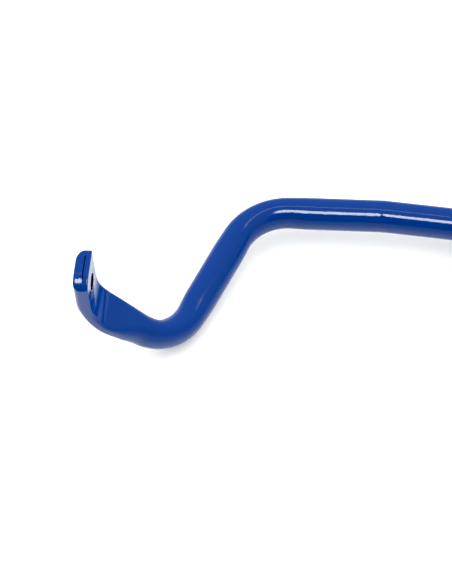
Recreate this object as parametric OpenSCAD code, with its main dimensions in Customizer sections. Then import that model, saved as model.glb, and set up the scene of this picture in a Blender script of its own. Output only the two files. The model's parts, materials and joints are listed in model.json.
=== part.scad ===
// Tubular rear sway bar with flattened link eyes, its two D-bushings, saddle brackets,
// bracket fasteners and lateral-stop collars.
//
// Frame: X runs along the torsion axis, the arms point to -Y and +Z is up. The origin is
// the centre of the four bracket studs on the mounting plane. The assembly lies as it would
// on a bench: bracket feet and studs up, bracket crowns and the two low bends on the table.
// The bar is symmetric about X = 0, so only its left half is described.

/* [Tube] */
// Outside diameter of the tube
tube_d = 24; // [20:0.5:28]
// Wall of the tube
tube_wall = 5; // [3:0.25:6]
// Distance from the middle of the bar to each shallow kink
kink_x = 314; // [290:1:360]
// Angle of the shallow kink
kink_angle = 5.3; // [2:0.1:9]
// Centreline radius of the shallow kink
kink_r = 72; // [50:1:120]
// From the shallow kink to the corner of the arm
outer_len = 97.5; // [90:0.5:120]
// Angle of the corner between the bar and its arm
arm_angle = 66.5; // [55:0.5:75]
// Centreline radius of that corner
arm_bend_r = 43; // [36:1:55]
// From the corner of the arm to its low bend
arm_len = 132; // [120:1:170]

/* [Link ends] */
// Slope of the end stretch above the plane of the bar
end_rise = 39; // [30:0.5:48]
// Sideways lean of the end stretch
end_yaw = 4; // [0:0.5:8]
// Centreline radius of the low bend
low_bend_r = 40.5; // [36:0.5:48]
// Straight run after the low bend
end_len = 27.5; // [24:0.5:32]
// Length over which the round tube is pressed flat
flatten_len = 37; // [34:0.5:45]
// Centreline radius of the curl up to the eye
curl_r = 45; // [38:0.5:55]
// Slope of the flat eye
tip_rise = 86.5; // [80:0.5:92]
// Straight length of the flat eye
tip_len = 29; // [27:0.5:40]
// Width of the pressed end
eye_w = 33; // [31:0.5:36]
// Gap left between the two pressed walls
slit = 0.4; // [0.2:0.1:0.8]
// Radius of the corners of the pressed end
corner_r = 7; // [4:0.5:10]
// Diameter of the link hole
eye_hole_d = 12.2; // [10.2:0.1:14.2]
// From the end of the bar to the link hole
eye_back = 18.5; // [15:0.5:20]

/* [Bushings] */
// Distance from the middle of the bar to each bushing
mount_x = 208; // [190:1:220]
// Height of the mounting plane above the torsion axis
axis_h = 21; // [20:0.5:26]
// Thickness of the bushing around the tube
bush_wall = 7.5; // [6:0.5:9]
// Radius of the two rounded corners of the bushing
bush_corner_r = 12; // [9:0.5:14]
// Length of the bushing inside its bracket
bush_len = 36; // [30:1:42]
// Thickness of each end flange of the bushing
flange_t = 4; // [3:0.5:5]
// How far the flange stands proud of the bushing
flange_h = 2.4; // [1.5:0.1:3]
// Running clearance between bushing and tube
bush_gap = 0.05; // [0.02:0.01:0.1]
// Width of the cut that lets the bushing open
bush_cut = 0.5; // [0.3:0.1:1]

/* [Brackets] */
// Thickness of the bracket strap
strap_t = 3.5; // [3:0.5:4]
// Distance between the two bolts of a bracket
bolt_pitch = 74; // [74:1:80]
// Diameter of the bolt holes
bolt_hole_d = 11; // [10.5:0.1:12]
// Radius of the fold between strap and foot
fold_r = 3; // [2:0.5:3]
// Length of the foot beyond the bolt
foot_margin = 14; // [12:0.5:18]
// Radius of the corners of the foot
foot_corner_r = 9; // [4:0.5:12]

/* [Fasteners] */
// Diameter of the bracket bolts
bolt_d = 10; // [10:1:10]
// Length of a bracket bolt under its head
bolt_len = 35; // [30:1:45]
// Height of the hexagon head
head_h = 6.4; // [5:0.1:8]
// Width of the hexagon head across its flats
head_flats = 16; // [15:0.5:17]
// Outside diameter of the plain washer
washer_d = 20; // [18:0.5:21]
// Thickness of the plain washer
washer_t = 2; // [1.5:0.1:2.5]
// Outside diameter of the spring washer
spring_d = 17; // [16:0.5:18]
// Thickness of the spring washer
spring_t = 2.4; // [2:0.1:3]

/* [Stop collars] */
// Outside diameter of the collar
collar_d = 42; // [40:0.5:43]
// Width of the collar
collar_w = 13; // [11:0.5:15]
// Gap between the two halves of the collar
collar_split = 1.2; // [0.8:0.1:2]
// Gap between collar and bushing
collar_gap = 0.4; // [0.3:0.1:1]
// Diameter of the collar screws
screw_d = 5; // [4:1:5]
// Distance from the torsion axis to each collar screw
screw_y = 16; // [15.5:0.1:16.5]

/* [Hidden] */
$fn = 72;

LEFT = -1;
RIGHT = 1;
FRONT = 1;
REAR = -1;
UPPER = 1;
LOWER = -1;

tube_r = tube_d / 2;
core_r = tube_r - tube_wall;
eye_t = 2 * tube_wall + slit;
eye_half_flat = (eye_w - eye_t) / 2;

// Directions of the left half, walking outward from the middle of the bar
dir_mid = [-1, 0, 0];
dir_outer = heading(kink_angle, 0);
dir_arm = heading(kink_angle + arm_angle, 0);
dir_end = heading(end_yaw, end_rise);
dir_tip = heading(end_yaw, tip_rise);

// Corners of the centreline
at_kink = [-kink_x, 0, 0];
at_arm = at_kink + outer_len * dir_outer;
at_low = at_arm + arm_len * dir_arm;
at_end = at_low + tangent(dir_arm, dir_end, low_bend_r) * dir_end;
at_curl = at_end + end_len * dir_end;

// The curl up to the eye, and the part of it that the flattening reaches into
curl_angle = tip_rise - end_rise;
curl_up = heading(end_yaw, end_rise + 90);
curl_centre = at_curl + curl_r * curl_up;
flat_from = (flatten_len - end_len) / curl_r * 180 / PI;
at_tip = curl_centre - curl_r * heading(end_yaw, tip_rise + 90);
eye_y = cross(heading(end_yaw, 90), heading(end_yaw, 0));

// Neighbouring stretches of the bar are joined by spigots that lap into each other's wall,
// a skin below both surfaces, so that no two curved faces have to coincide
lap = 0.8;
skin = 0.04;
hair = 0.01;

// Rings along the loft from round to flat, and points round each ring
loft_steps = 13;
loft_sides = 44;

// Bushing, bracket and bench height
bush_r = tube_r + bush_gap + bush_wall;
seat_gap = 0.05;
strap_in = bush_r + seat_gap;
strap_out = strap_in + strap_t;
strap_w = bush_len - 4 * seat_gap;
foot_from = strap_out + fold_r;
foot_end = bolt_pitch / 2 + foot_margin;
bench_drop = strap_out - tube_r;
bench_tilt = settle(5, 12);

// Bolt stack, from the underside of the foot down; the shank is a little thinner than the
// threaded stud that stands above the foot
washer_top = -strap_t;
spring_top = washer_top - washer_t;
head_top = spring_top - spring_t;
shank_d = bolt_d - 0.2;
stud_len = bolt_len + head_top;
bolt_bevel = 1;
washer_bore_d = bolt_d + 0.5;
spring_cut = 0.8;

// The stop collars stand against the inner ends of the bushings
collar_x = mount_x - bush_len / 2 - flange_t - collar_gap - collar_w / 2;
collar_bore_gap = 0.03;
collar_bevel = 1.2;
screw_head_d = screw_d * 1.7;
screw_key = screw_d * 0.8;
screw_seat_z = 7.5;
screw_depth = 9;
screw_room = 0.5;
thread_room = 0.1;

function unit(v) = v / norm(v);
function heading(yaw, rise) = [-cos(rise) * cos(yaw), -cos(rise) * sin(yaw), sin(rise)];
function between(a, b) = acos(a * b);
function tangent(a, b, r) = r * tan(between(a, b) / 2);
function toward(a, b) = unit(b - (a * b) * a);

// Height of the lowest point of the low bend below the torsion axis at a given tilt,
// and the tilt at which that equals the height of the bracket crown over the tube
function low_bend_drop(tilt) =
    let (n = toward(dir_arm, dir_end),
         start = at_low - tangent(dir_arm, dir_end, low_bend_r) * dir_arm,
         down = [0, -sin(tilt), -cos(tilt)],
         fall_arm = dir_arm * down,
         fall_n = n * down)
    start * down + low_bend_r * (fall_n + norm([fall_arm, fall_n]));
function settle(tilt, n) =
    n == 0 ? tilt : settle(tilt * bench_drop / low_bend_drop(tilt), n - 1);

// Centre and direction of the loft at a distance s from the end of the low bend
function loft_angle(s) = max(0, s - end_len) / curl_r * 180 / PI;
function loft_dir(s) = heading(end_yaw, end_rise + loft_angle(s));
function loft_at(s) =
    s <= end_len ? at_end + s * dir_end
    : curl_centre - curl_r * heading(end_yaw, end_rise + loft_angle(s) + 90);
function ease(t) = t <= 0 ? 0 : t >= 1 ? 1 : t * t * (3 - 2 * t);

// One ring of the loft: a round that turns into a flat-sided slot as f goes from 0 to 1
function slot_point(a, half_t, half_flat) =
    [half_t * cos(a) + sign(round(cos(a) * 1000)) * half_flat, half_t * sin(a)];
function loft_ring(s, r0, t1, grow) =
    let (f = ease(s / flatten_len),
         half_t = r0 * (1 - f) + t1 / 2 * f + grow,
         up = cross(loft_dir(s), eye_y))
    [for (i = [0 : loft_sides - 1])
        let (p = slot_point(i * 360 / loft_sides, half_t, eye_half_flat * f))
        loft_at(s) + p.x * eye_y + p.y * up];

module frame_at(at, x, y) {
    z = cross(x, y);
    multmatrix([
        [x.x, y.x, z.x, at.x],
        [x.y, y.y, z.y, at.y],
        [x.z, y.z, z.z, at.z],
        [0, 0, 0, 1]
    ]) children();
}

module both_sides() {
    children();
    mirror([1, 0, 0]) children();
}

// A length of tube along Z, centred, with its wall thinned by a skin on both sides
module pipe(length, thinned) {
    difference() {
        cylinder(r = tube_r - thinned, h = length, center = true);
        cylinder(r = core_r + thinned, h = length + 1, center = true);
    }
}

// A straight run of tube from a to b, with a spigot at each end
module run(a, b) {
    along = unit(b - a);
    across = unit(cross(along, [0, 0, 1]));
    frame_at((a + b) / 2, across, cross(along, across)) {
        pipe(norm(b - a) - 2 * hair, 0);
        pipe(norm(b - a) + 2 * lap, skin);
    }
}

// A bend of centreline radius bend_r at a corner, from direction a to direction b
module bend(corner, a, b, bend_r) {
    n = toward(a, b);
    centre = corner - tangent(a, b, bend_r) * a + bend_r * n;
    frame_at(centre, -n, a) rotate_extrude(angle = between(a, b)) translate([bend_r, 0])
        difference() {
            circle(r = tube_r);
            circle(r = core_r);
        }
}

// The round tube of one side, from its shallow kink to the end of its low bend
module round_side() {
    kink_t = tangent(dir_mid, dir_outer, kink_r);
    arm_t = tangent(dir_outer, dir_arm, arm_bend_r);
    low_t = tangent(dir_arm, dir_end, low_bend_r);
    bend(at_kink, dir_mid, dir_outer, kink_r);
    run(at_kink + kink_t * dir_outer, at_arm - arm_t * dir_outer);
    bend(at_arm, dir_outer, dir_arm, arm_bend_r);
    run(at_arm + arm_t * dir_arm, at_low - low_t * dir_arm);
    bend(at_low, dir_arm, dir_end, low_bend_r);
}

// The hollow loft: outer rings out to the flat end, then inner rings back
module flattening() {
    span = flatten_len + 2 * lap;
    stations = [for (i = [0 : loft_steps]) i * span / loft_steps - lap];
    rings = concat(
        [for (s = stations) loft_ring(s, tube_r, eye_t, -skin)],
        [for (i = [loft_steps : -1 : 0]) loft_ring(stations[i], core_r, slit, skin)]
    );
    count = len(rings);
    m = loft_sides;
    faces = [for (k = [0 : count - 1]) for (i = [0 : m - 1])
        let (a = k * m + i, b = k * m + (i + 1) % m, next = (k + 1) % count * m)
        each [[b, a, next + i], [next + (i + 1) % m, b, next + i]]];
    polyhedron([for (ring = rings) each ring], faces);
}

// Cross-section of the pressed end: two walls with a slit between them
module slot_shape(t) {
    square([2 * eye_half_flat, t], center = true);
    for (side = [-1, 1]) translate([side * eye_half_flat, 0]) circle(d = t);
}

module pressed_section(thinned) {
    difference() {
        slot_shape(eye_t - 2 * thinned);
        slot_shape(slit + 2 * thinned);
    }
}

module curl() {
    frame_at(curl_centre, -curl_up, dir_end)
        rotate([0, 0, flat_from])
            rotate_extrude(angle = curl_angle - flat_from)
                translate([curl_r, 0]) rotate(90) pressed_section(0);
}

// Plan outline of the flat eye, from its root at y = 0 to its rounded end
module eye_plan() {
    translate([-eye_w / 2, 0]) square([eye_w, tip_len - corner_r]);
    translate([corner_r - eye_w / 2, 0]) square([eye_w - 2 * corner_r, tip_len]);
    for (side = [-1, 1])
        translate([side * (eye_w / 2 - corner_r), tip_len - corner_r]) circle(r = corner_r);
}

module eye() {
    face = cross(dir_tip, eye_y);
    difference() {
        union() {
            frame_at(at_tip, eye_y, face) {
                translate([0, 0, hair]) linear_extrude(tip_len / 2) pressed_section(0);
                translate([0, 0, -lap]) linear_extrude(2 * lap) pressed_section(skin);
            }
            intersection() {
                frame_at(at_tip, eye_y, face)
                    translate([0, 0, hair]) linear_extrude(tip_len) pressed_section(0);
                frame_at(at_tip, eye_y, dir_tip)
                    linear_extrude(2 * eye_t, center = true) eye_plan();
            }
        }
        frame_at(at_tip + (tip_len - eye_back) * dir_tip, eye_y, dir_tip)
            cylinder(d = eye_hole_d, h = 2 * eye_t, center = true);
    }
}

// Put the bar, modelled in its own flat plane, at its bench tilt
module on_bench() {
    translate([0, 0, -axis_h]) rotate([bench_tilt, 0, 0]) children();
}

module bar() {
    kink_t = tangent(dir_mid, dir_outer, kink_r);
    color("royalblue") on_bench() {
        run(at_kink - kink_t * dir_mid, [kink_x - kink_t, 0, 0]);
        both_sides() {
            round_side();
            flattening();
            curl();
            eye();
        }
    }
}

// D-shaped outline in the YZ plane, crown down, drawn with Z as its second axis
module d_outline(half_w, crown_z, corner, top_z) {
    translate([-half_w, crown_z + corner]) square([2 * half_w, top_z - crown_z - corner]);
    translate([corner - half_w, crown_z]) square([2 * (half_w - corner), 2 * corner]);
    for (side = [-1, 1]) translate([side * (half_w - corner), crown_z + corner]) circle(r = corner);
}

// Extrude an outline in the YZ plane by a length along X, centred
module along_x(length) {
    rotate([90, 0, 90]) linear_extrude(length, center = true) children();
}

module bushing(side) {
    color("dimgray") translate([side * mount_x, 0, 0]) difference() {
        union() {
            along_x(bush_len + 2 * flange_t)
                d_outline(bush_r, -axis_h - bush_r, bush_corner_r, 0);
            for (end = [-1, 1]) translate([end * (bush_len + flange_t) / 2, 0, 0])
                along_x(flange_t - 2 * seat_gap)
                    d_outline(bush_r + flange_h, -axis_h - bush_r - flange_h,
                              bush_corner_r + flange_h, 0);
        }
        translate([0, 0, -axis_h]) rotate([0, 90, 0])
            cylinder(r = tube_r + bush_gap, h = 2 * bush_len, center = true);
        translate([0, bush_r, -axis_h]) cube([2 * bush_len, 2 * bush_r, bush_cut], center = true);
    }
}

module bracket_profile() {
    fold_out = fold_r + strap_t;
    difference() {
        union() {
            d_outline(strap_out, -axis_h - strap_out, bush_corner_r + seat_gap + strap_t, 0);
            for (side = [-1, 1]) translate([side * (strap_out + fold_r / 2), -fold_out / 2])
                square([fold_r, fold_out], center = true);
        }
        d_outline(strap_in, -axis_h - strap_in, bush_corner_r + seat_gap, 1);
        for (side = [-1, 1]) {
            translate([side * (strap_out + fold_r), -fold_out]) circle(r = fold_r);
            translate([side * (strap_out + fold_r), -fold_out - fold_r])
                square([2 * fold_r, 2 * fold_r], center = true);
        }
    }
}

// Outline of one foot in the XY plane, from the fold outward along +Y
module foot_outline() {
    square_end = foot_end - foot_corner_r;
    translate([-strap_w / 2, foot_from]) square([strap_w, square_end - foot_from]);
    translate([foot_corner_r - strap_w / 2, foot_from])
        square([strap_w - 2 * foot_corner_r, foot_end - foot_from]);
    for (side = [-1, 1])
        translate([side * (strap_w / 2 - foot_corner_r), square_end]) circle(r = foot_corner_r);
}

module bracket(side) {
    color("silver") translate([side * mount_x, 0, 0]) {
        along_x(strap_w) bracket_profile();
        for (turn = [0, 180]) rotate([0, 0, turn]) translate([0, 0, -strap_t])
            linear_extrude(strap_t) difference() {
                foot_outline();
                translate([0, bolt_pitch / 2]) circle(d = bolt_hole_d);
            }
    }
}

// Carry a fastener from the origin to one of the four bolt places
module at_bolt(side, end) {
    translate([side * mount_x, end * bolt_pitch / 2, 0]) children();
}

// Hexagon prism under z = 0, with its lower corners turned off
module hex_head() {
    corner_r = head_flats / 2 / cos(30);
    translate([0, 0, -head_h]) intersection() {
        cylinder(r = corner_r, h = head_h, $fn = 6);
        union() {
            cylinder(r1 = head_flats / 2 - 0.4, r2 = corner_r, h = 1);
            translate([0, 0, 1]) cylinder(r = corner_r + 1, h = head_h);
        }
    }
}

module bolt(side, end) {
    color("lightgray") at_bolt(side, end) {
        translate([0, 0, head_top]) {
            hex_head();
            cylinder(d = shank_d, h = -head_top);
        }
        cylinder(d = bolt_d, h = stud_len - bolt_bevel);
        translate([0, 0, stud_len - bolt_bevel])
            cylinder(d1 = bolt_d, d2 = bolt_d - 2 * bolt_bevel, h = bolt_bevel);
    }
}

module ring(outer_d, inner_d, h) {
    difference() {
        cylinder(d = outer_d, h = h);
        translate([0, 0, -1]) cylinder(d = inner_d, h = h + 2);
    }
}

module washer(side, end) {
    color("gainsboro") at_bolt(side, end) translate([0, 0, spring_top])
        ring(washer_d, washer_bore_d, washer_t);
}

module spring_washer(side, end) {
    color("darkgray") at_bolt(side, end) translate([0, 0, head_top]) difference() {
        ring(spring_d, washer_bore_d, spring_t);
        translate([spring_d / 2, 0, spring_t / 2]) rotate([35, 0, 0])
            cube([spring_d, spring_cut, 3 * spring_t], center = true);
    }
}

// Whole stop collar about the X axis, with both outer edges bevelled
module collar_ring() {
    outer = collar_d / 2;
    inner = tube_r + collar_bore_gap;
    half = collar_w / 2;
    rotate([0, 90, 0]) rotate_extrude() polygon([
        [inner, -half], [outer - collar_bevel, -half], [outer, collar_bevel - half],
        [outer, half - collar_bevel], [outer - collar_bevel, half], [inner, half]
    ]);
}

module collar_half(side, up) {
    tall = collar_d;
    color("dimgray") on_bench() translate([side * collar_x, 0, 0]) difference() {
        intersection() {
            collar_ring();
            translate([0, 0, up * (collar_split + tall) / 2])
                cube([2 * collar_w, 2 * collar_d, tall], center = true);
        }
        for (end = [FRONT, REAR]) translate([0, end * screw_y, 0]) {
            if (up > 0) {
                cylinder(d = screw_d + screw_room, h = tall);
                translate([0, 0, screw_seat_z]) cylinder(d = screw_head_d + screw_room, h = tall);
            } else {
                translate([0, 0, -screw_depth - screw_room])
                    cylinder(d = screw_d + thread_room, h = tall);
            }
        }
    }
}

module collar_screw(side, end) {
    color("darkslategray") on_bench() translate([side * collar_x, end * screw_y, 0]) {
        translate([0, 0, -screw_depth]) cylinder(d = screw_d, h = screw_depth + screw_seat_z);
        translate([0, 0, screw_seat_z]) difference() {
            cylinder(d = screw_head_d, h = screw_d);
            translate([0, 0, screw_d / 2])
                cylinder(r = screw_key / 2 / cos(30), h = screw_d, $fn = 6);
        }
    }
}

bar();
bushing(LEFT);  // bushing_left
bushing(RIGHT);  // bushing_right
bracket(LEFT);  // bracket_left
bracket(RIGHT);  // bracket_right
bolt(LEFT, FRONT);  // bolt_left_front
bolt(LEFT, REAR);  // bolt_left_rear
bolt(RIGHT, FRONT);  // bolt_right_front
bolt(RIGHT, REAR);  // bolt_right_rear
washer(LEFT, FRONT);  // washer_left_front
washer(LEFT, REAR);  // washer_left_rear
washer(RIGHT, FRONT);  // washer_right_front
washer(RIGHT, REAR);  // washer_right_rear
spring_washer(LEFT, FRONT);  // spring_washer_left_front
spring_washer(LEFT, REAR);  // spring_washer_left_rear
spring_washer(RIGHT, FRONT);  // spring_washer_right_front
spring_washer(RIGHT, REAR);  // spring_washer_right_rear
collar_half(LEFT, UPPER);  // collar_left_upper
collar_half(LEFT, LOWER);  // collar_left_lower
collar_half(RIGHT, UPPER);  // collar_right_upper
collar_half(RIGHT, LOWER);  // collar_right_lower
collar_screw(LEFT, FRONT);  // collar_screw_left_front
collar_screw(LEFT, REAR);  // collar_screw_left_rear
collar_screw(RIGHT, FRONT);  // collar_screw_right_front
collar_screw(RIGHT, REAR);  // collar_screw_right_rear
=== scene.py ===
"""The looks of a tubular sway bar on a bench: the blue powder-coated bar with its pressed and
drilled link ends, and the bushings, saddle brackets, fasteners and stop collars on it.

The bar repeats the lengths of its CAD source, in millimetres, and is built round its own
centreline. Everything else takes its place from the CAD nodes."""

import json
import math

import bmesh
import bpy
import numpy as np
from mathutils import Matrix, Vector


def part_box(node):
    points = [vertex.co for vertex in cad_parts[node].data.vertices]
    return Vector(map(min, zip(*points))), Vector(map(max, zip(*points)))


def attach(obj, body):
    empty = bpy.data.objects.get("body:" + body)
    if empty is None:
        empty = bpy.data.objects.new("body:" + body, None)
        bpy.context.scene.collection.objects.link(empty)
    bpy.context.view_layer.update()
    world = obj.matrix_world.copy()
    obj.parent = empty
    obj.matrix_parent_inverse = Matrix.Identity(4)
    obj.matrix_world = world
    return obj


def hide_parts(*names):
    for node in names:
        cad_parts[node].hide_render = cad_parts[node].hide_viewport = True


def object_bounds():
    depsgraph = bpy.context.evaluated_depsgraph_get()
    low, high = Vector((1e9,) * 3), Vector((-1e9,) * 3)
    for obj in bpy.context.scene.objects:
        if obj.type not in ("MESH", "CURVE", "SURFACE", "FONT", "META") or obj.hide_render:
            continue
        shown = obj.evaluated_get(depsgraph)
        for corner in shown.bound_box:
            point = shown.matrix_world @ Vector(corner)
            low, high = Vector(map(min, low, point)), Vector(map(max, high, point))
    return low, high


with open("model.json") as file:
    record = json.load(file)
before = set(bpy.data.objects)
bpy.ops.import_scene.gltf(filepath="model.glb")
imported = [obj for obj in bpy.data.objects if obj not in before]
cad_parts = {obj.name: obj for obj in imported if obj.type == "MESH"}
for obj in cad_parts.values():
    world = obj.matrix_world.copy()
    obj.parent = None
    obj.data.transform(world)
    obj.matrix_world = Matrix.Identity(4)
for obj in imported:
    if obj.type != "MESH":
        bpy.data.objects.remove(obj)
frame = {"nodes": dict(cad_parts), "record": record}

MM = 0.001
CAD_BOX = [list(corner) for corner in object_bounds()]
NODES = frame["nodes"]
SIDE_NAMES = ("left", "right")
END_NAMES = ("front", "rear")

# ---- the bar's driving lengths, in millimetres and degrees ----
TUBE_R = 12.0
KINK_X, KINK_ANGLE, KINK_R = 314.0, 5.3, 72.0
OUTER_LEN, ARM_ANGLE, ARM_R, ARM_OVAL = 97.5, 66.5, 43.0, 0.05
ARM_LEN, LOW_R, LOW_OVAL = 132.0, 40.5, 0.08
END_YAW, END_RISE, END_LEN = 4.0, 39.0, 27.5
CURL_R, TIP_RISE, TIP_LEN = 45.0, 86.5, 29.0
FLAT_FROM, FLAT_LEN = -3.0, 37.0
SQUARE_FROM, SQUARE_LEN = 50.0, 16.0
EYE_W, EYE_T = 33.0, 10.4
# radii of the pressed section's corners: near inboard, near outboard, far outboard, far inboard
CURL_CORNERS = ((2.2, 2.2), (9.0, 5.2), (9.0, 6.2), (4.0, 4.0))
EYE_CORNERS = ((1.8, 1.8), (4.5, 4.6), (11.0, 8.3), (1.8, 1.8))
EYE_SWELL, EYE_TWIST = 0.6, 1.6  # the flats stand a little proud inboard, and turn to the near side
# the end of the eye, seen flat: its near corner's cut and the bend of that, its far corner
NEAR_CUT, NEAR_BEND, FAR_CUT_R = (10.5, 6.5), 1.3, 3.2
EDGE_R, DISH = 0.9, 0.48
HOLE_R, HOLE_BACK, HOLE_LIP = 6.1, 18.5, 0.5
SLIT_AT, SLIT_LEN, SLIT_DEPTH = (-0.8, 1.5), 20.4, 5.0
AXIS_H, BENCH_TILT = 21.0, 5.86063

# the mark that the bending tool left at the kink: a faint ridge, highest at one spot
KINK_RIDGE, KINK_RIDGE_W, KINK_SPOT, KINK_SPOT_W = 0.1, 1.4, 0.16, 0.02
KINK_SPOT_TOWARD = np.array([0.0, -0.40, 0.917])

# what the pressing did to the far side of the low bend: height, place past it, and width
FAR_BULGES = ((1.1, 0.0, 10.0), (-0.6, -17.0, 8.0))
OVAL_FADE = 12.0  # length over which a bend's ovality dies out

SIDES = 96  # points round the bar, a multiple of four
HOLE_RING = 12  # the eye's ring through the middle of the hole
HOLE_REACH = 10  # rings and points on each side of the hole's middle that its patch takes up
HALF_T = EYE_T / 2


# ---- small helpers ----
def unit(v):
    return v / np.linalg.norm(v, axis=-1, keepdims=True)


def ease(t):
    t = np.clip(t, 0, 1)
    return t * t * (3 - 2 * t)


def heading(yaw, rise):
    """Direction outward to the left, turned by yaw towards the arms and up by rise."""
    y, r = math.radians(yaw), math.radians(rise)
    return np.array([-math.cos(r) * math.cos(y), -math.cos(r) * math.sin(y), math.sin(r)])


def laid(points):
    """Points of the bar, or of what rolls with it, from its own frame to the bench."""
    tilt = math.radians(BENCH_TILT)
    x, y, z = points.T
    return np.column_stack([
        x,
        y * math.cos(tilt) - z * math.sin(tilt),
        y * math.sin(tilt) + z * math.cos(tilt) - AXIS_H,
    ])


def linked(name, data):
    """A new object of the scene."""
    obj = bpy.data.objects.new(name, data)
    bpy.context.scene.collection.objects.link(obj)
    return obj


def new_piece(name, verts, faces):
    """A mesh object in metres, its doubled points merged and its faces turned outward."""
    mesh = bpy.data.meshes.new(name)
    bm = bmesh.new()
    points = [bm.verts.new(v) for v in verts]
    for face in faces:
        bm.faces.new([points[i] for i in face])
    bmesh.ops.delete(bm, geom=[v for v in bm.verts if not v.link_faces], context="VERTS")
    bmesh.ops.remove_doubles(bm, verts=bm.verts, dist=1e-7)
    bmesh.ops.recalc_face_normals(bm, faces=bm.faces)
    for face in bm.faces:
        face.smooth = True
    bm.to_mesh(mesh)
    bm.free()
    return linked(name, mesh)


# ---- the bar: its centreline ----
def straight_stretch(start, along, length, rings):
    """Stations (point, direction) along a straight length."""
    steps = np.linspace(0, length, rings + 1)
    return [(start + s * along, along) for s in steps]


def bent_stretch(start, along, after, radius, rings):
    """Stations round a bend from one direction to the one after it."""
    turn = math.acos(float(along @ after))
    inward = unit(after - (along @ after) * along)
    stations = []
    for a in np.linspace(0, turn, rings + 1):
        at = start + radius * (math.sin(a) * along + (1 - math.cos(a)) * inward)
        stations.append((at, math.cos(a) * along + math.sin(a) * inward))
    return stations


def centreline():
    """Stations (point, direction) along the left half of the bar, from its middle to the root
    of its eye, with the ovality of its bends and the length from the end of the low bend."""
    mid, outer = heading(0, 0), heading(KINK_ANGLE, 0)
    arm, end = heading(KINK_ANGLE + ARM_ANGLE, 0), heading(END_YAW, END_RISE)
    tip = heading(END_YAW, TIP_RISE)
    # direction, the next one, length up to the corner, bend radius, ovality, rings of the
    # straight and of the bend
    runs = (
        (mid, outer, KINK_X, KINK_R, 0.0, 32, 10),
        (outer, arm, OUTER_LEN, ARM_R, ARM_OVAL, 12, 40),
        (arm, end, ARM_LEN, LOW_R, LOW_OVAL, 16, 44),
    )
    at, used, stations, bends = np.zeros(3), 0.0, [], []
    for along, after, length, radius, oval, rings, bend_rings in runs:
        turn = math.acos(float(along @ after))
        cut = radius * math.tan(turn / 2)
        stations += straight_stretch(at, along, length - used - cut, rings)[:-1]
        at = at + (length - used - cut) * along
        bends.append((len(stations), bend_rings, oval, unit(after - along)))
        stations += bent_stretch(at, along, after, radius, bend_rings)[:-1]
        at, used = at + cut * (along + after), cut
    low_end = len(stations)
    stations += straight_stretch(at, end, END_LEN, 18)[:-1]
    stations += bent_stretch(at + END_LEN * end, end, tip, CURL_R, 36)
    points = np.array([p for p, _ in stations])
    run = np.concatenate([[0], np.cumsum(np.linalg.norm(np.diff(points, axis=0), axis=1))])
    return points, np.array([d for _, d in stations]), run, bends, run - run[low_end]


def carried_frames(directions, last_across):
    """Across and up directions that follow the centreline without twisting, and end on
    last_across."""
    across = [unit(np.cross(directions[0], [0, 0, 1]))]
    for before, after in zip(directions, directions[1:]):
        e = across[-1] - (across[-1] @ after) * after
        across.append(unit(e))
    across = np.array(across)
    up = np.cross(directions, across)
    turn = math.atan2(last_across @ up[-1], last_across @ across[-1])
    turned = math.cos(turn) * across + math.sin(turn) * up
    return turned, np.cross(directions, turned)


# ---- the bar: its cross-sections ----
def even_points(x, y, count):
    """Evenly spaced points along a curve, both of its ends among them."""
    along = np.concatenate([[0], np.cumsum(np.hypot(np.diff(x), np.diff(y)))])
    at = np.linspace(0, along[-1], count + 1)
    return np.column_stack([np.interp(at, along, x), np.interp(at, along, y)])


def cornered_points(half_x, half_y, corners):
    """(across, up) points clockwise round a box whose four corners are quarter ellipses, given
    as (x, y) radii: near and up, near and down, far and down, far and up. They start from the
    middle of the upper side, a quarter of them for each corner."""
    a = np.linspace(0, math.pi / 2, 300)
    quarters = []
    for (sx, sy), (rx, ry) in zip(((1, 1), (1, -1), (-1, -1), (-1, 1)), corners):
        x = np.concatenate([[0], half_x - rx + rx * np.sin(a)])
        y = np.concatenate([[half_y], half_y - ry + ry * np.cos(a)])
        meet = 0.0 if sx > 0 else sy * (half_y - corners[3][1])
        if y[-1] > meet + 1e-9:
            x, y = np.append(x, half_x), np.append(y, meet)
        points = even_points(x, y, SIDES // 4) * [sx, sy]
        quarters.append(points[:-1] if sx == sy else points[:0:-1])
    return np.concatenate(quarters)


def pressed_points(share, squared=1.0):
    """The section where the tube has been pressed flat by this share, with its corners as
    round as in the curl (squared 0) or as sharp as in the eye (squared 1)."""
    half_x = TUBE_R + (EYE_W / 2 - TUBE_R) * share
    half_y = TUBE_R + (HALF_T - TUBE_R) * share
    corners = [
        tuple(TUBE_R + (c + (e - c) * squared - TUBE_R) * share for c, e in zip(curl, eye))
        for curl, eye in zip(CURL_CORNERS, EYE_CORNERS)
    ]
    points = cornered_points(half_x, half_y, corners)
    points[:, 1] += EYE_SWELL * share * (points[:, 1] / half_y + 1) / 2
    return points


def far_bulge(past):
    """How far the far side of the low bend stands out, past millimetres from the bend's end."""
    return sum(
        height * math.exp(-(((past - at) / width) ** 2)) for height, at, width in FAR_BULGES
    )


def ovalled(ring, along, oval, toward, past_start, before_end):
    """The ring, flatter towards the inside of a bend that it lies in or near."""
    near = np.clip(past_start / OVAL_FADE + 1, 0, 1)
    near *= np.clip(before_end / OVAL_FADE + 1, 0, 1)
    inward = unit(toward - (toward @ along) * along)
    return ring - oval * near * (ring @ inward)[:, None] * inward


def ridged(ring, away):
    """The ring with the bending tool's mark on it, away millimetres from the mark's middle."""
    toward = unit(ring)
    spot = np.exp(-((toward @ KINK_SPOT_TOWARD - 1) / KINK_SPOT_W) ** 2)
    height = KINK_RIDGE + KINK_SPOT * spot
    return ring + (height * math.exp(-((away / KINK_RIDGE_W) ** 2)))[:, None] * toward


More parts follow.
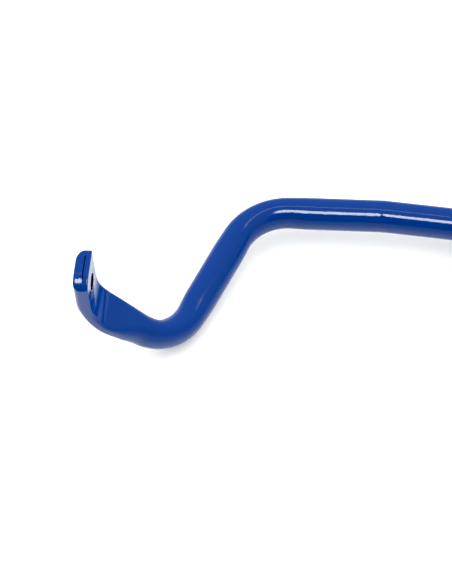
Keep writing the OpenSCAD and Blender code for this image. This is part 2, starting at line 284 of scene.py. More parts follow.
def bar_rings():
    """Rings of the left half of the bar out to the root of its eye, and the eye's own frame."""
    points, along, run, bends, past_low = centreline()
    eye_across = np.cross(heading(END_YAW, 90), heading(END_YAW, 0))
    across, up = carried_frames(along, eye_across)
    flattened = ease((past_low - FLAT_FROM) / FLAT_LEN)
    squared = ease((past_low - SQUARE_FROM) / SQUARE_LEN)
    turn = math.radians(EYE_TWIST) * flattened[:, None]
    across, up = (np.cos(turn) * across - np.sin(turn) * up,
                  np.cos(turn) * up + np.sin(turn) * across)
    rings = []
    kink, kink_rings = bends[0][:2]
    for i, centre in enumerate(points):
        flat = pressed_points(flattened[i], squared[i])
        far = np.clip(-flat[:, 0] / flat[:, 0].max(), 0, 1)
        flat[:, 0] -= far * far_bulge(past_low[i])
        ring = flat[:, :1] * across[i] + flat[:, 1:] * up[i]
        for first, count, oval, toward in bends:
            ring = ovalled(ring, along[i], oval, toward,
                           run[i] - run[first], run[first + count] - run[i])
        if i < kink + kink_rings + 2:
            ring = ridged(ring, run[i] - run[kink + kink_rings // 2])
        rings.append(centre + ring)
    return rings, (points[-1], across[-1], up[-1], along[-1])


# ---- the bar: its eye ----
def end_profile():
    """The end of the eye seen from its flat side: a table of place across, height, distance
    measured over it from the middle, and sine of its slope. The near corner is worn off at a
    slant and the far one is nearly square."""
    half = EYE_W / 2
    a = np.linspace(math.pi / 2, 0, 400)
    cut_x, cut_z = NEAR_CUT
    near_x = half - cut_x + cut_x * np.cos(a) ** (2 / NEAR_BEND)
    near_z = TIP_LEN - cut_z + cut_z * np.sin(a) ** (2 / NEAR_BEND)
    far_x = FAR_CUT_R - half - FAR_CUT_R * np.cos(a[::-1])
    far_z = TIP_LEN - FAR_CUT_R + FAR_CUT_R * np.sin(a[::-1])
    x, z = np.concatenate([far_x, [0.0], near_x]), np.concatenate([far_z, [TIP_LEN], near_z])
    run = np.concatenate([[0], np.cumsum(np.hypot(np.diff(x), np.diff(z)))])
    run -= np.interp(0, x, run)
    slope = np.abs(np.gradient(z, run))
    return x, z, run, slope


END_X, END_Z, END_RUN, END_SLOPE = end_profile()


def end_height(spread):
    """Place across and height on the end of the eye, for a distance measured over its corners."""
    return np.interp(spread, END_RUN, END_X), np.interp(spread, END_RUN, END_Z)


def spread_of(x):
    """The reverse of end_height: distance over the rounded corners for a place across."""
    return np.interp(x, END_X, END_RUN)


def dish(up):
    """How far the end face sinks towards the seam between the tube's two walls."""
    return DISH * np.interp(up, [-HALF_T, SLIT_AT[1], HALF_T + EYE_SWELL], [0, 1, 0])


def outward_normals(outline):
    """Unit normals of a closed outline that runs clockwise."""
    tangent = np.roll(outline, -1, axis=0) - np.roll(outline, 1, axis=0)
    normal = np.column_stack([-tangent[:, 1], tangent[:, 0]])
    return normal / np.linalg.norm(normal, axis=1)[:, None]


def wall_rings(outline, step):
    """Rings of the eye's flat walls from its root, a step apart where its hole is cut."""
    hole_z = TIP_LEN - HOLE_BACK
    levels = [hole_z + k * step for k in range(-HOLE_RING, HOLE_RING)]
    levels.append(TIP_LEN - NEAR_CUT[1] - 2)
    return [np.column_stack([outline, np.full(SIDES, z)]) for z in levels]


def edge_rings(outline, low):
    """Rings from height low up the walls and round the edge of the end face, and the border
    of that face, laid out flat."""
    developed = np.column_stack([spread_of(outline[:, 0]), outline[:, 1]])
    top_z = end_height(developed[:, 0])[1] - dish(outline[:, 1])
    lean = np.interp(outline[:, 0], END_X, END_SLOPE)
    turn = np.arccos(np.clip(np.abs(outward_normals(outline)[:, 0]) * lean, 0, 1))
    setback = np.maximum(EDGE_R * np.tan(turn / 2), 0.2 * EDGE_R)
    rings = [
        np.column_stack([outline, low + (top_z - setback - low) * t])
        for t in np.linspace(0, 1, 6)[1:]
    ]
    border = developed - setback[:, None] * outward_normals(developed)
    border_x, border_z = end_height(border[:, 0])
    wall, corner = rings[-1], np.column_stack([outline, top_z])
    face = np.column_stack([border_x, border[:, 1], border_z - dish(border[:, 1])])
    weight = np.cos(turn / 2)[:, None]
    for t in (0.25, 0.5, 0.75, 1.0):
        a, b, c = (1 - t) ** 2, 2 * t * (1 - t) * weight, t * t
        rings.append((a * wall + b * corner + c * face) / (a + b + c))
    return rings, border


def end_face_rings(border):
    """Rings over the dished end face to the mouth of the slit, and down the slit."""
    half_len, rings = SLIT_LEN / 2, []
    mouth = cornered_points(half_len + 0.2, 0.5, [(0.5, 0.5)] * 4) + SLIT_AT
    for t in (0.2, 0.45, 0.7, 0.9, 1.0):
        flat = border + (mouth - border) * t
        x, z = end_height(flat[:, 0])
        rings.append(np.column_stack([x, flat[:, 1], z - dish(flat[:, 1])]))
    for half_w, depth in ((0.36, 0.1), (0.3, 0.35), (0.25, 0.8), (0.2, SLIT_DEPTH)):
        slit = cornered_points(half_len - 0.5 + half_w, half_w, [(half_w, half_w)] * 4) + SLIT_AT
        x, z = end_height(slit[:, 0])
        rings.append(np.column_stack([x, slit[:, 1], z - DISH - depth]))
    return rings


def eye_rings():
    """Rings (across, up, along) of the eye from its root to the floor of its slit, and the
    step between the even rings that its hole is cut from."""
    outline = pressed_points(1.0)
    step = float(np.linalg.norm(outline[1] - outline[0]))
    wall = wall_rings(outline, step)
    edge, border = edge_rings(outline, wall[-1][:, 2])
    return wall + edge + end_face_rings(border), step


def square_loop():
    """(column, ring) offsets round the border of the hole's patch, from the +across side."""
    n = HOLE_REACH
    loop = [(n, k) for k in range(0, n)] + [(k, n) for k in range(n, -n, -1)]
    loop += [(-n, k) for k in range(n, -n, -1)] + [(k, -n) for k in range(-n, n)]
    return loop + [(n, k) for k in range(-n, 0)]


def hole_rings(step):
    """Rings (across, up, along) through the hole, from the upper border of its patch down to
    the lower one, both left out, because the eye's own points are those."""
    loop = np.array(square_loop(), float) * step
    angle = np.arange(len(loop)) * 2 * math.pi / len(loop)
    circle = np.column_stack([np.cos(angle), np.sin(angle)])
    rim = HOLE_R + HOLE_LIP
    upper = [(loop + (circle * rim - loop) * t, HALF_T) for t in (0.3, 0.6, 0.85, 1.0)]
    for a in (30, 60, 90):
        r = rim - HOLE_LIP * math.sin(math.radians(a))
        upper.append((circle * r, HALF_T - HOLE_LIP * (1 - math.cos(math.radians(a)))))
    # the lower flat isn't level, so its rings follow the eye's outline
    under = pressed_points(1.0)[SIDES // 4:3 * SIDES // 4 + 1][::-1]
    lower = [
        (flat, np.interp(flat[:, 0], under[:, 0], under[:, 1]) + HALF_T - y)
        for flat, y in reversed(upper)
    ]
    # a groove where the tube's two walls meet
    seam = SLIT_AT[1]
    groove = [(HOLE_R, 0.5), (HOLE_R + 0.3, 0.15), (HOLE_R + 0.3, -0.15), (HOLE_R, -0.5)]
    middle = [(circle * r, seam + y) for r, y in groove]
    upper = [(flat, y + EYE_SWELL) for flat, y in upper]
    hole_z = TIP_LEN - HOLE_BACK
    return [
        np.column_stack([flat[:, 0], np.broadcast_to(y, len(flat)), flat[:, 1] + hole_z])
        for flat, y in upper + middle + lower
    ]


# ---- the bar: its mesh ----
def ring_faces(first, count, rings):
    """Quads between consecutive rings of count points, numbered from first."""
    faces = []
    for k in range(rings - 1):
        for i in range(count):
            j = (i + 1) % count
            a = first + k * count
            faces.append((a + i, a + count + i, a + count + j, a + j))
    return faces


def skin_faces(rings, body_rings):
    """Faces between all the bar's rings, without the two patches that the hole takes up."""
    skipped = {
        (k, (side + i) % SIDES)
        for k in range(HOLE_RING - HOLE_REACH, HOLE_RING + HOLE_REACH)
        for i in range(-HOLE_REACH, HOLE_REACH)
        for side in (0, SIDES // 2)
    }
    faces = []
    for n, face in enumerate(ring_faces(0, SIDES, rings)):
        ring, column = divmod(n, SIDES)
        if (ring - body_rings, column) not in skipped:
            faces.append(face)
    return faces


def slit_floor_faces(first):
    """Faces that close the last ring, numbered from first."""
    faces = []
    for i in range(-SIDES // 4, SIDES // 4):
        quad = [i % SIDES, (i + 1) % SIDES, SIDES // 2 - i - 1, SIDES // 2 - i]
        faces.append(tuple(dict.fromkeys(first + q for q in quad)))
    return faces


def hole_faces(first_eye, first_hole, rings):
    """Faces of the hole's rings, and those that join them to the borders of its patches."""
    loop = square_loop()
    count = len(loop)
    faces = ring_faces(first_hole, count, rings)
    for upper, inner in ((True, first_hole), (False, first_hole + (rings - 1) * count)):
        columns = [(c if upper else SIDES // 2 - c) % SIDES for c, _ in loop]
        border = [
            first_eye + (HOLE_RING + k) * SIDES + c for c, (_, k) in zip(columns, loop)
        ]
        for i in range(count):
            j = (i + 1) % count
            faces.append((border[i], border[j], inner + j, inner + i))
    return faces


def build_bar():
    """The whole bar: the left half and its mirror image, joined in the middle."""
    body, (root, across, up, along) = bar_rings()
    eye, step = eye_rings()
    hole = hole_rings(step)
    placed = [root + r @ np.array([across, up, along]) for r in eye + hole]
    verts = np.concatenate(body + placed)
    rings = len(body) + len(eye)
    faces = skin_faces(rings, len(body))
    faces += slit_floor_faces((rings - 1) * SIDES)
    faces += hole_faces(len(body) * SIDES, rings * SIDES, len(hole))
    count = len(verts)
    faces += [tuple(count + i for i in reversed(face)) for face in faces]
    return new_piece("sway_bar", laid(np.concatenate([verts, verts * [-1, 1, 1]])) * MM, faces)


def mark_bores(bar):
    """Gives the walls of the two link holes the bar's second material, a painted shade."""
    reach = (HOLE_R + 0.35) * MM
    for mount in frame["record"]["mounts"]:
        if mount["kind"] != "bore":
            continue
        centre, axis = Vector(mount["pos_m"]), Vector(mount["axis"])
        for face in bar.data.polygons:
            out = face.center - centre
            level = out.dot(axis)
            if abs(level) < EYE_T * MM and (out - level * axis).length < reach:
                face.material_index = 1


# ---- the fittings, in millimetres ----
BOLT_COLUMNS, BOLT_FLATS, BOLT_HEAD_H, BOLT_FACE_R = 48, 16.0, 6.4, 7.6
HEAD_CHAMFER = 1.64  # how much wider the head is for each millimetre up its chamfer
THREAD_FROM, THREAD_PITCH, THREAD_R, THREAD_START_R = -1.0, 1.5, 5.0, 4.9
THREAD_FORM = (4.98, 5.0, 4.9, 4.5, 4.15, 4.08, 4.2, 4.6)  # radii over one pitch
THREAD_END, THREAD_END_SLOPE = 1.2, 0.83
RING_COLUMNS, WASHER_R, WASHER_BORE_R, WASHER_SOFT = 96, 10.0, 5.25, 0.3
SPRING_R, SPRING_SOFT, SPRING_GAP, SPRING_SLANT, SPRING_ROWS = 8.5, 0.25, 0.8, 35.0, 73
SCREW_COLUMNS, SCREW_Y = 144, 16.0
SCREW_R, SCREW_HEAD_R, SCREW_HEAD_H, SCREW_KEY, SCREW_KEY_DEEP = 2.5, 4.25, 5.0, 4.0, 2.5
SCREW_UNDER, SCREW_DEEP, KNURL = 7.5, 9.0, 0.14


def angles(count):
    """Evenly spaced angles once round."""
    return np.arange(count) * 2 * math.pi / count


def polar(radius, angle, z):
    """A ring of points; the radius and height may change round it."""
    return np.column_stack([radius * np.cos(angle), radius * np.sin(angle),
                            np.broadcast_to(z, angle.shape)])


def rounds(angle, profile):
    """Round rings from (radius, height) pairs."""
    return [polar(np.full(len(angle), r), angle, z) for r, z in profile]


def hexagon(angle, flats, corner=0.25):
    """Radii of a hexagon this far across its flats, its corners cut back by corner."""
    past = (angle % (math.pi / 3)) - math.pi / 6
    return np.minimum(flats / 2 / np.cos(past), flats / 2 / math.cos(math.pi / 6) - corner)


def grid_faces(columns, rows):
    """Quads of a grid of points numbered row by row, each row a closed ring."""
    return [
        (r * columns + c, r * columns + (c + 1) % columns,
         (r + 1) * columns + (c + 1) % columns, (r + 1) * columns + c)
        for r in range(rows - 1) for c in range(columns)
    ]


def bolt_head_rings(angle, bottom):
    """Rings of the head: its dished face, its chamfer, its flats and its washer face."""
    head = hexagon(angle, BOLT_FLATS)
    top = bottom + BOLT_HEAD_H
    past = head - BOLT_FACE_R
    chamfer = past / HEAD_CHAMFER
    rings = rounds(angle, (
        (0.0, bottom + 0.25), (4.6, bottom + 0.25), (5.2, bottom + 0.12), (5.6, bottom),
        (7.3, bottom), (7.5, bottom + 0.02)))
    rings += [
        polar(BOLT_FACE_R + past * 0.5, angle, bottom + chamfer * 0.5 + 0.02),
        polar(head - 0.14, angle, bottom + chamfer - 0.05),
        polar(head - 0.03, angle, bottom + chamfer + 0.04),
        polar(head, angle, bottom + chamfer + 0.16), polar(head, angle, top - 0.75),
        polar(head - 0.05, angle, top - 0.6), polar(head - 0.2, angle, top - 0.5)]
    return rings + rounds(angle, (
        (7.7, top - 0.48), (7.6, top - 0.42), (7.55, top - 0.08), (7.45, top),
        (5.3, top), (4.95, top + 0.2), (4.9, top + 0.5)))


def thread_rings(angle, stop):
    """Rings of the thread up to its chamfered end. Each column of points starts a little
    later than the one before, so a row climbs by one pitch on its way round."""
    rows = len(THREAD_FORM)
    turns = (stop - THREAD_FROM) / THREAD_PITCH
    rings = []
    for k in range(rows * (math.ceil(turns) + 2) + 1):
        t = np.clip(k / rows + angle / (2 * math.pi) - 1, 0, turns)
        z = THREAD_FROM + t * THREAD_PITCH
        depth = THREAD_FORM[k % rows] - THREAD_START_R
        r = THREAD_START_R + depth * np.clip(t / 0.8, 0, 1)
        end = THREAD_R - (z - stop + THREAD_END) * THREAD_END_SLOPE
        rings.append(polar(np.minimum(r, np.where(z > stop - THREAD_END, end, THREAD_R)), angle, z))
    return rings


def bolt_mesh(name, node):
    """A hexagon bolt, head down, with its washer face and its rolled thread."""
    low, high = np.array(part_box(node)) / MM
    x, y = (low[:2] + high[:2]) / 2
    angle, turn = angles(BOLT_COLUMNS), len(THREAD_FORM)
    head = bolt_head_rings(angle, low[2])
    rings = head + thread_rings(angle, high[2]) + rounds(angle, [(0.0, high[2])])
    flat_end = len(rings) - turn - 2
    faces = []
    for row in range(len(rings) - 1):
        for c in range(BOLT_COLUMNS):
            # at its seam the thread joins the row one turn on, until it reaches its flat end
            seam = c == BOLT_COLUMNS - 1
            if seam and flat_end <= row < len(rings) - 2:
                continue
            on = turn if seam and len(head) <= row < flat_end else 0
            d = (c + 1) % BOLT_COLUMNS
            faces.append((row * BOLT_COLUMNS + c, (row + on) * BOLT_COLUMNS + d,
                          (row + 1 + on) * BOLT_COLUMNS + d, (row + 1) * BOLT_COLUMNS + c))
    return new_piece(name, (np.concatenate(rings) + [x, y, 0]) * MM, faces)


def rounded_section(outer, inner, half, soft, steps):
    """(radius, height) points round the section of a flat ring with rounded edges."""
    section = []
    for r, z, turn in ((outer, half, 0), (inner, half, 90),
                       (inner, -half, 180), (outer, -half, 270)):
        toward = -1 if r == outer else 1
        for a in steps:
            c = math.radians(turn + a)
            section.append((r + toward * soft + soft * math.cos(c),
                            z - math.copysign(soft, z) + soft * math.sin(c)))
    return section


def plain_ring(name, node):
    """A flat washer with rounded edges that fills the node's height."""
    low, high = np.array(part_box(node)) / MM
    section = rounded_section(WASHER_R, WASHER_BORE_R, (high[2] - low[2]) / 2, WASHER_SOFT,
                              (0, 30, 60, 90))
    rings = rounds(angles(RING_COLUMNS), section + section[:1])
    verts = (np.concatenate(rings) + (low + high) / 2) * MM
    return new_piece(name, verts, grid_faces(RING_COLUMNS, len(rings)))


def spring_ring(name, node):
    """A split spring washer, pressed flat, with its slanted cut on the +X side."""
    low, high = np.array(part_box(node)) / MM
    centre = np.array([low[0] + SPRING_R, (low[1] + high[1]) / 2, (low[2] + high[2]) / 2])
    r, z = np.array(rounded_section(SPRING_R, WASHER_BORE_R, (high[2] - low[2]) / 2,
                                    SPRING_SOFT, (0, 45, 90))).T
    slant = math.radians(SPRING_SLANT)
    gap = SPRING_GAP / 2 / math.cos(slant)
    first = (gap - z * math.tan(slant)) / r
    last = 2 * math.pi + (-gap - z * math.tan(slant)) / r
    rows = [polar(r, first + (last - first) * t, z) for t in np.linspace(0, 1, SPRING_ROWS)]
    n = len(r)
    faces = grid_faces(n, SPRING_ROWS)
    faces += [tuple(range(n)), tuple(range((SPRING_ROWS - 1) * n, SPRING_ROWS * n))]
    return new_piece(name, (np.concatenate(rows) + centre) * MM, faces)


def screw_mesh(name, node):
    """A socket cap screw: a knurled head with a hexagon socket over a plain shank."""
    low, high = np.array(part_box(node)) / MM
    x = (low[0] + high[0]) / 2
    y = math.copysign(SCREW_Y, (low[1] + high[1]) / 2)
    angle = angles(SCREW_COLUMNS)
    knurl = SCREW_HEAD_R - KNURL * (np.arange(SCREW_COLUMNS) % 4 > 1)
    socket = hexagon(angle, SCREW_KEY, 0.0)
    top, floor = SCREW_UNDER + SCREW_HEAD_H, SCREW_UNDER + SCREW_HEAD_H - SCREW_KEY_DEEP
    rings = rounds(angle, (
        (0.0, -SCREW_DEEP), (1.9, -SCREW_DEEP), (SCREW_R, 0.7 - SCREW_DEEP),
        (SCREW_R, SCREW_UNDER), (SCREW_HEAD_R - 0.4, SCREW_UNDER),
        (SCREW_HEAD_R - 0.15, SCREW_UNDER + 0.1)))
    rings += [polar(knurl, angle, SCREW_UNDER + 0.4), polar(knurl, angle, top - 0.9)]
    rings += rounds(angle, (
        (SCREW_HEAD_R - 0.15, top - 0.6), (SCREW_HEAD_R - 0.35, top - 0.2),
        (SCREW_HEAD_R - 0.6, top - 0.04), (SCREW_HEAD_R - 0.8, top),
        (2.55, top), (2.45, top - 0.03)))
    rings += [polar(socket + 0.03, angle, top - 0.15), polar(socket, angle, top - 0.25),
              polar(socket, angle, floor)]
    rings += rounds(angle, ((1.2, floor - 0.25), (0.0, floor - 0.6)))
    verts = laid(np.concatenate(rings) + [x, y, 0]) * MM
    return new_piece(name, verts, grid_faces(SCREW_COLUMNS, len(rings)))


SHARP_ANGLE, LEVEL_ANGLE = 30.0, 0.5  # degrees: edges to round, and faces taken as level


def softened(name, node, width):
    """A copy of a CAD piece whose sharp edges are rounded to this width."""
    mesh = NODES[node].data.copy()
    mesh.materials.clear()
    bm = bmesh.new()
    bm.from_mesh(mesh)
    bmesh.ops.remove_doubles(bm, verts=bm.verts, dist=1e-6)
    bmesh.ops.dissolve_limit(bm, angle_limit=math.radians(LEVEL_ANGLE), verts=bm.verts, edges=bm.edges)
    bmesh.ops.recalc_face_normals(bm, faces=bm.faces)
    sharp = [e for e in bm.edges if len(e.link_faces) == 2
             and e.calc_face_angle(0) > math.radians(SHARP_ANGLE)]
    bmesh.ops.bevel(bm, geom=sharp, offset=width * MM, segments=3, profile=0.5,
                    affect="EDGES", clamp_overlap=True)
    bmesh.ops.triangulate(bm, faces=[f for f in bm.faces if len(f.verts) > 4])
    for face in bm.faces:
        face.smooth = True
    bm.to_mesh(mesh)
    bm.free()
    mesh.name = name
    piece = linked(name, mesh)
    modifier = piece.modifiers.new("even_shading", "WEIGHTED_NORMAL")
    modifier.keep_sharp = True
    return piece


# ---- materials ----
class Nodes:
    """Shorthand for building one procedural material."""

    def __init__(self, name):
        self.material = bpy.data.materials.new(name)
        self.material.use_nodes = True
        self.tree = self.material.node_tree
        self.shader = self.tree.nodes["Principled BSDF"]

    @classmethod
    def of_tree(cls, tree):
        """The same for a node tree that isn't a material's."""
        nodes = cls.__new__(cls)
        nodes.tree = tree
        return nodes

    def set(self, values):
        """Sets the shader's own sockets."""
        for name, value in values.items():
            self.shader.inputs[name].default_value = value

    def add(self, kind, **inputs):
        node = self.tree.nodes.new(kind)
        for name, value in inputs.items():
            self.feed(node.inputs[name.replace("_", " ").title()], value)
        return node

    def feed(self, socket, value):
        """Links or sets a socket."""
        if isinstance(value, bpy.types.NodeSocket):
            self.tree.links.new(value, socket)
        else:
            socket.default_value = value

    def math(self, operation, *values):
        node = self.tree.nodes.new("ShaderNodeMath")
        node.operation = operation
        for socket, value in zip(node.inputs, values):
            self.feed(socket, value)
        return node.outputs[0]

    def ramp(self, value, low, high, at_low, at_high):
        """A smooth change from at_low to at_high while the value goes from low to high."""
        node = self.add("ShaderNodeMapRange", value=value, from_min=low, from_max=high,
                        to_min=at_low, to_max=at_high)
        node.interpolation_type = "SMOOTHSTEP"
        return node.outputs["Result"]

    def blend(self, factor, first, second):
        """A colour that goes from the first to the second as the factor goes from 0 to 1."""
        node = self.tree.nodes.new("ShaderNodeMix")
        node.data_type = "RGBA"
        self.feed(node.inputs[0], factor)
        for socket, colour in ((node.inputs[6], first), (node.inputs[7], second)):
            self.feed(socket, (*colour, 1))
        return node.outputs[2]

    def place(self):
        """Where a point of the surface is, in metres."""
        return self.add("ShaderNodeTexCoord").outputs["Object"]

    def link(self, output, name):
        """Feeds one of the shader's sockets."""
        self.tree.links.new(output, self.shader.inputs[name])


def noise(nodes, scale, detail=2.0, roughness=0.5):
    """Noise with this many waves to the metre."""
    return nodes.add("ShaderNodeTexNoise", vector=nodes.place(), scale=scale, detail=detail,
                     roughness=roughness).outputs["Fac"]


def bump(nodes, height, distance, normal=None):
    """A normal bumped by this many metres at the height's full range, over another one."""
    inputs = dict(height=height, distance=distance, strength=1.0)
    if normal is not None:
        inputs["normal"] = normal
    return nodes.add("ShaderNodeBump", **inputs).outputs["Normal"]


def powder_coat():
    """Deep blue under a glossy coat with a faint orange peel."""
    nodes = Nodes("blue_powder_coat")
    nodes.set({
        "Base Color": (0.0025, 0.032, 0.182, 1), "Roughness": 0.35, "IOR": 1.5,
        "Specular IOR Level": 0.0, "Coat Weight": 1.0, "Coat Roughness": 0.07,
    })
    swell = bump(nodes, noise(nodes, 160, 1), 0.00004)
    peel = bump(nodes, noise(nodes, 800, 2), 0.00004, normal=swell)
    nodes.link(peel, "Normal")
    nodes.link(peel, "Coat Normal")
    return nodes.material


def painted_bore_shade():
    """Painted shade on the walls of the link holes: a rough, near-black blue that stands in for the
    shade inside them.
    """
    nodes = Nodes("painted_shade_in_bores")
    patch = noise(nodes, 420, 3)
    # near-black colours, patchy at random: painted shade inside the link holes
    nodes.link(nodes.blend(patch, (0.002, 0.005, 0.014), (0.008, 0.015, 0.032)), "Base Color")
    nodes.set({"Roughness": 0.7, "Specular IOR Level": 0.15})
    nodes.link(bump(nodes, noise(nodes, 1500, 2), 0.00006), "Normal")
    return nodes.material


def stretched_noise(nodes, scales):
    """Noise drawn out along the axes with small scales."""
    drawn = nodes.tree.nodes.new("ShaderNodeVectorMath")
    drawn.operation = "MULTIPLY"
    nodes.feed(drawn.inputs[0], nodes.place())
    nodes.feed(drawn.inputs[1], scales)
    return nodes.add("ShaderNodeTexNoise", vector=drawn.outputs[0], scale=1.0,
                     detail=2.0).outputs["Fac"]


def plated_steel(name, light, dark, smooth, dull, lines=(60, 1400, 1400)):
    """Zinc plate: cloudy, with fine drawn lines and a patchy gloss."""
    nodes = Nodes(name)
    nodes.set({"Metallic": 1.0})
    cloud = noise(nodes, 140, 4, 0.6)
    nodes.link(nodes.blend(nodes.ramp(cloud, 0.35, 0.65, 0, 1), light, dark), "Base Color")
    patches = noise(nodes, 420, 3)
    nodes.link(nodes.ramp(patches, 0.3, 0.7, smooth, dull), "Roughness")
    drawn = bump(nodes, stretched_noise(nodes, lines), 0.000006)
    nodes.link(bump(nodes, noise(nodes, 2200, 2), 0.000004, normal=drawn), "Normal")
    return nodes.material


def moulded_polyurethane():
    """Satin black, finely grained, with paler rubbed patches."""
    nodes = Nodes("black_polyurethane")
    nodes.set({"IOR": 1.5, "Specular IOR Level": 0.4})
    rubbed = nodes.ramp(noise(nodes, 90, 4, 0.65), 0.5, 0.75, 0, 1)
    nodes.link(nodes.blend(rubbed, (0.016, 0.016, 0.017), (0.025, 0.025, 0.026)), "Base Color")
    nodes.link(nodes.ramp(noise(nodes, 300, 3), 0.3, 0.7, 0.38, 0.58), "Roughness")
    swell = bump(nodes, noise(nodes, 120, 2), 0.00005)
    nodes.link(bump(nodes, noise(nodes, 2600, 2), 0.000012, normal=swell), "Normal")
    return nodes.material


LATHE_FEED = 0.0004  # metres for each turn of the lathe


def anodised_alloy():
    """Black anodised aluminium with the rings of the lathe tool on it."""
    nodes = Nodes("black_anodised")
    nodes.set({"Metallic": 1.0})
    cloud = nodes.ramp(noise(nodes, 200, 3), 0.35, 0.7, 0, 1)
    nodes.link(nodes.blend(cloud, (0.022, 0.022, 0.026), (0.05, 0.05, 0.056)), "Base Color")
    nodes.link(nodes.ramp(noise(nodes, 700, 2), 0.3, 0.7, 0.26, 0.42), "Roughness")
    parts = nodes.add("ShaderNodeSeparateXYZ", vector=nodes.place()).outputs
    across = nodes.math("POWER", parts["Y"], 2.0)
    height = nodes.math("POWER", nodes.math("ADD", parts["Z"], AXIS_H * MM), 2.0)
    radius = nodes.math("SQRT", nodes.math("ADD", across, height))
    waves = 2 * math.pi / LATHE_FEED
    turned = nodes.math("SINE", nodes.math("MULTIPLY", radius, waves))
    along = nodes.math("SINE", nodes.math("MULTIPLY", parts["X"], waves))
    rings = bump(nodes, nodes.math("ADD", turned, along), 0.000004)
    nodes.link(bump(nodes, noise(nodes, 2400, 2), 0.000004, normal=rings), "Normal")
    return nodes.material


def black_oxide():
    """Oiled black steel."""
    nodes = Nodes("black_oxide")
    nodes.set({"Metallic": 0.85})
    cloud = nodes.ramp(noise(nodes, 500, 3), 0.35, 0.7, 0, 1)
    nodes.link(nodes.blend(cloud, (0.02, 0.02, 0.022), (0.055, 0.05, 0.048)), "Base Color")
    nodes.link(nodes.ramp(noise(nodes, 900, 2), 0.3, 0.7, 0.3, 0.5), "Roughness")
    nodes.link(bump(nodes, noise(nodes, 3000, 2), 0.000006), "Normal")
    return nodes.material


# ---- studio, in metres ----
FLOOR_GAP = 0.0002  # keeps the bench clear of the faces that would lie exactly in it
FLOOR_HALF = 9.0
CAMERA_AZIMUTH, CAMERA_ELEVATION, CAMERA_LENS = 8.4, 50.9, 258.0
CAMERA_RIGHT, CAMERA_UP, CAMERA_BACK = -0.1175, -0.0564, 3.122  # from the kink
KEY_AT, KEY_SIZE, KEY_RADIANCE = (-0.2, -1.28, 2.2), (1.38, 0.76), 12.0
STRIP_AT, STRIP_SIZE, STRIP_RADIANCE = (-0.3, 0.17, 1.0), (0.9, 0.05), 3.0
BLACK_LEVEL, WHITE_LEVEL = 0.01, 0.83


def add_floor():
    """A white table, seen darker at grazing angles in the reflections of the coat."""
    low = CAD_BOX[0][2] - FLOOR_GAP
    corners = [(-1, -1), (1, -1), (1, 1), (-1, 1)]
    floor = new_piece("floor", [(x * FLOOR_HALF, y * FLOOR_HALF, low) for x, y in corners],
                      [(0, 1, 2, 3)])
    nodes = Nodes("white_table")
    nodes.set({"Roughness": 0.8, "Specular IOR Level": 0.1, "Emission Color": (1, 1, 1, 1)})
    facing = nodes.add("ShaderNodeLayerWeight", blend=0.5).outputs["Facing"]
    glossy = nodes.add("ShaderNodeLightPath").outputs["Is Glossy Ray"]
    fall = nodes.math("MULTIPLY", glossy, nodes.ramp(facing, 0.1, 0.75, 0.15, 0.72))
    nodes.link(nodes.blend(fall, (0.86, 0.86, 0.81), (0.0, 0.04, 0.12)), "Base Color")
    bounced = nodes.add("ShaderNodeLightPath").outputs["Is Diffuse Ray"]
    nodes.link(nodes.math("MULTIPLY_ADD", bounced, 0.12, 0.16), "Emission Strength")
    floor.data.materials.append(nodes.material)


def soft_box(name, centre, target, size, radiance, shape="RECTANGLE"):
    """A soft box of this brightness at centre, facing the target."""
    light = bpy.data.lights.new(name, "AREA")
    light.shape, light.size, light.size_y = shape, size[0], size[1]
    area = size[0] * size[1] * (1 if shape == "RECTANGLE" else math.pi / 4)
    light.energy = radiance * math.pi * area
    obj = linked(name, light)
    obj.location = centre
    direction = Vector(target) - obj.location
    obj.rotation_euler = direction.to_track_quat("-Z", "Y").to_euler()
    return obj


def add_world():
    """Pale surroundings. What reflects in the coat is brighter overhead and dark low down on
    the side of the arms; what lights the object is brighter from the back."""
    world = bpy.data.worlds.new("studio")
    bpy.context.scene.world = world
    world.use_nodes = True
    nodes = Nodes.of_tree(world.node_tree)
    place = nodes.add("ShaderNodeTexCoord").outputs["Generated"]
    parts = nodes.add("ShaderNodeSeparateXYZ", vector=place).outputs
    sky = nodes.ramp(parts["Z"], 0.0, 1.0, 0.25, 0.36)
    dark = nodes.ramp(parts["Y"], -0.80, -0.55, 0.2, 1.0)
    seen = nodes.math("MULTIPLY", sky, dark)
    near = nodes.ramp(parts["Y"], -0.85, -0.35, 0.05, 1.0)
    lit = nodes.math("MULTIPLY", near, nodes.ramp(parts["X"], -1.0, 1.0, 2.0, 1.6))
    glossy = nodes.add("ShaderNodeLightPath").outputs["Is Glossy Ray"]
    change = nodes.math("MULTIPLY", glossy, nodes.math("SUBTRACT", seen, lit))
    background = world.node_tree.nodes["Background"]
    world.node_tree.links.new(nodes.math("ADD", lit, change), background.inputs["Strength"])
    background.inputs["Color"].default_value = (0.98, 0.99, 1, 1)


def add_lights():
    """A round soft box over the arms' side, seen only in reflections, and a thin strip behind
    the bar, which draws a faint second line along it."""
    key = soft_box("key", KEY_AT, (-0.35, 0, 0), KEY_SIZE, KEY_RADIANCE, "ELLIPSE")
    key.visible_diffuse = False
    soft_box("strip", STRIP_AT, (-0.3, 0, 0), STRIP_SIZE, STRIP_RADIANCE)


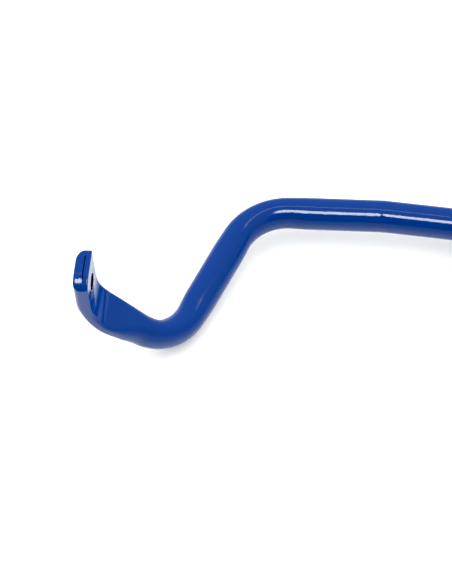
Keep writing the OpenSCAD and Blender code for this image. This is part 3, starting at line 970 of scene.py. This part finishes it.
def add_camera():
    """A long lens on the left end of the bar, from above and in front."""
    a, e = math.radians(CAMERA_AZIMUTH), math.radians(CAMERA_ELEVATION)
    right = Vector((math.cos(a), math.sin(a), 0))
    ahead = Vector((-math.sin(a), math.cos(a), 0))
    up = ahead * math.sin(e) + Vector((0, 0, math.cos(e)))
    back = -ahead * math.cos(e) + Vector((0, 0, math.sin(e)))
    kink = Vector((-KINK_X * MM, 0, -AXIS_H * MM))
    data = bpy.data.cameras.new("camera")
    data.lens, data.sensor_width, data.clip_end = CAMERA_LENS, 36.0, 50.0
    camera = linked("camera", data)
    camera.location = kink + right * CAMERA_RIGHT + up * CAMERA_UP + back * CAMERA_BACK
    camera.rotation_euler = Matrix((right, up, back)).transposed().to_euler()
    bpy.context.scene.camera = camera


def set_view():
    """Plain colours, exposed for a white bench."""
    view = bpy.context.scene.view_settings
    view.view_transform = "Standard"
    view.use_curve_mapping = True
    view.curve_mapping.black_level = (BLACK_LEVEL,) * 3
    view.curve_mapping.white_level = (WHITE_LEVEL,) * 3


# ---- the pieces ----
def fit(piece, body, node, material):
    """Puts a piece in the place of a CAD node, on its body."""
    piece.data.materials.append(material)
    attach(piece, body)
    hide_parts(node)


def add_bar():
    bar = build_bar()
    fit(bar, "bar", "bar", powder_coat())
    # the second material paints shade onto the walls of the link holes
    bar.data.materials.append(painted_bore_shade())
    mark_bores(bar)


def add_fittings():
    rubber, alloy, oxide = moulded_polyurethane(), anodised_alloy(), black_oxide()
    strap = plated_steel("bracket_zinc_plate", (0.66, 0.67, 0.69), (0.50, 0.52, 0.55), 0.24, 0.4)
    bolt = plated_steel("bolt_zinc_plate", (0.62, 0.62, 0.60), (0.48, 0.49, 0.50), 0.22, 0.38,
                        (1400, 1400, 90))
    washer = plated_steel("washer_zinc_plate", (0.68, 0.69, 0.70), (0.54, 0.56, 0.59), 0.2, 0.34)
    spring = plated_steel("spring_steel_plate", (0.44, 0.44, 0.46), (0.30, 0.31, 0.33), 0.3, 0.5)
    for side in SIDE_NAMES:
        fit(softened(f"d_bushing_{side}", f"bushing_{side}", 0.5), "chassis_mounts",
            f"bushing_{side}", rubber)
        fit(softened(f"saddle_bracket_{side}", f"bracket_{side}", 0.45), "chassis_mounts",
            f"bracket_{side}", strap)
        for half in ("upper", "lower"):
            fit(softened(f"stop_collar_{side}_{half}", f"collar_{side}_{half}", 0.25), "bar",
                f"collar_{side}_{half}", alloy)
        for end in END_NAMES:
            place = f"{side}_{end}"
            fit(bolt_mesh(f"hex_bolt_{place}", f"bolt_{place}"), "chassis_mounts",
                f"bolt_{place}", bolt)
            fit(plain_ring(f"plain_washer_{place}", f"washer_{place}"), "chassis_mounts",
                f"washer_{place}", washer)
            fit(spring_ring(f"split_washer_{place}", f"spring_washer_{place}"),
                "chassis_mounts", f"spring_washer_{place}", spring)
            fit(screw_mesh(f"cap_screw_{place}", f"collar_screw_{place}"), "bar",
                f"collar_screw_{place}", oxide)


add_camera()
add_world()
add_floor()
add_lights()
add_bar()
add_fittings()
set_view()
